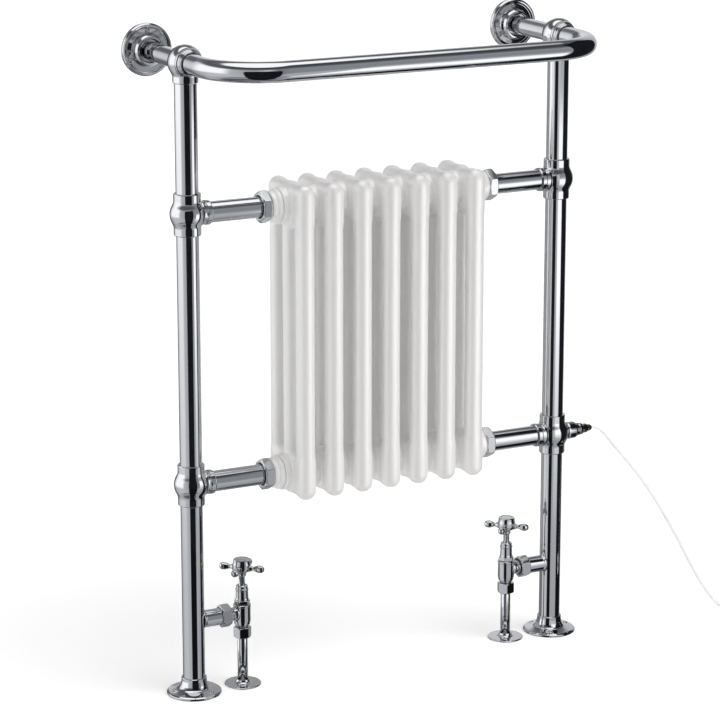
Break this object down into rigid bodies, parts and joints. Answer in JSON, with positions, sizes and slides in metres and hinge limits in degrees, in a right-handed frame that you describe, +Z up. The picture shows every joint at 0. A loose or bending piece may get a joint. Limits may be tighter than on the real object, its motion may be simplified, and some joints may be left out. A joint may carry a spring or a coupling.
{
  "type": "heated towel rail radiator with valves",
  "caption": "Floor-standing chrome towel rail on wall stays, holding a white column radiator, with crosshead angle valves on riser pipes and an electric element on a white lead.",
  "frame": {"origin": "on the floor, under the middle of the outline of the rail with its flanges, the cord left out", "axes": "+Z up; +Y towards the wall, so the towel rail stands out towards -Y; +X to the right as seen from the front"},
  "size_m": [0.98, 0.3053, 0.962],
  "materials": {
    "chrome": "bright chrome plate, polished",
    "white_enamel": "gloss white stoved paint on steel",
    "stainless": "stainless sheath, plated head",
    "washer_rubber": "moulded valve washer",
    "white_flex": "white PVC flex"
  },
  "bodies": {
    "root": {"cord_coil": "white_flex", "cord_gland": "chrome", "cord_lead": "white_flex", "heating_element": "stainless", "left_bush_lower": "white_enamel", "left_bush_upper": "white_enamel", "left_compression_nut": "chrome", "left_cross_tube_lower": "chrome", "left_cross_tube_upper": "chrome", "left_floor_flange": "chrome", "left_floor_plate": "chrome", "left_post_lower": "chrome", "left_post_middle": "chrome", "left_post_upper": "chrome", "left_riser_pipe": "chrome", "left_tee_lower": "chrome", "left_tee_upper": "chrome", "left_top_ball": "chrome", "left_union_nut_lower": "chrome", "left_union_nut_upper": "chrome", "left_valve_body": "chrome", "left_valve_bonnet": "chrome", "left_valve_union_nut": "chrome", "left_wall_flange": "chrome", "left_wall_stay": "chrome", "radiator_section_1": "white_enamel", "radiator_section_2": "white_enamel", "radiator_section_3": "white_enamel", "radiator_section_4": "white_enamel", "radiator_section_5": "white_enamel", "radiator_section_6": "white_enamel", "radiator_section_7": "white_enamel", "right_bush_lower": "white_enamel", "right_bush_upper": "white_enamel", "right_compression_nut": "chrome", "right_cross_tube_lower": "chrome", "right_cross_tube_upper": "chrome", "right_floor_flange": "chrome", "right_floor_plate": "chrome", "right_post_lower": "chrome", "right_post_middle": "chrome", "right_post_upper": "chrome", "right_riser_pipe": "chrome", "right_tee_lower": "chrome", "right_tee_upper": "chrome", "right_top_ball": "chrome", "right_union_nut_lower": "chrome", "right_union_nut_upper": "chrome", "right_valve_body": "chrome", "right_valve_bonnet": "chrome", "right_valve_union_nut": "chrome", "right_wall_flange": "chrome", "right_wall_stay": "chrome", "towel_rail": "chrome"},
    "left_jumper": {"left_valve_jumper": "washer_rubber"},
    "left_handle": {"left_valve_spindle": "chrome", "left_valve_handle": "chrome"},
    "right_jumper": {"right_valve_jumper": "washer_rubber"},
    "right_handle": {"right_valve_spindle": "chrome", "right_valve_handle": "chrome"}
  },
  "joints": [
    {"name": "left_valve_lift", "type": "slide", "parent": "root", "child": "left_jumper", "axis": [0, 0, 1], "range_m": [0, 0.00425]},
    {"name": "left_handle_turn", "type": "hinge", "parent": "left_jumper", "child": "left_handle", "pos_m": [-0.222, 0.00835, 0.18], "axis": [0, 0, 1], "range_deg": [0, 766]},
    {"name": "right_valve_lift", "type": "slide", "parent": "root", "child": "right_jumper", "axis": [0, 0, 1], "range_m": [0, 0.00425]},
    {"name": "right_handle_turn", "type": "hinge", "parent": "right_jumper", "child": "right_handle", "pos_m": [0.222, 0.00835, 0.18], "axis": [0, 0, 1], "range_deg": [0, 766]}
  ],
  "couplings": [
    {"joint": "left_handle_turn", "follows": "left_valve_lift", "rad_per_m": 3141.6},
    {"joint": "right_handle_turn", "follows": "right_valve_lift", "rad_per_m": 3141.6}
  ]
}
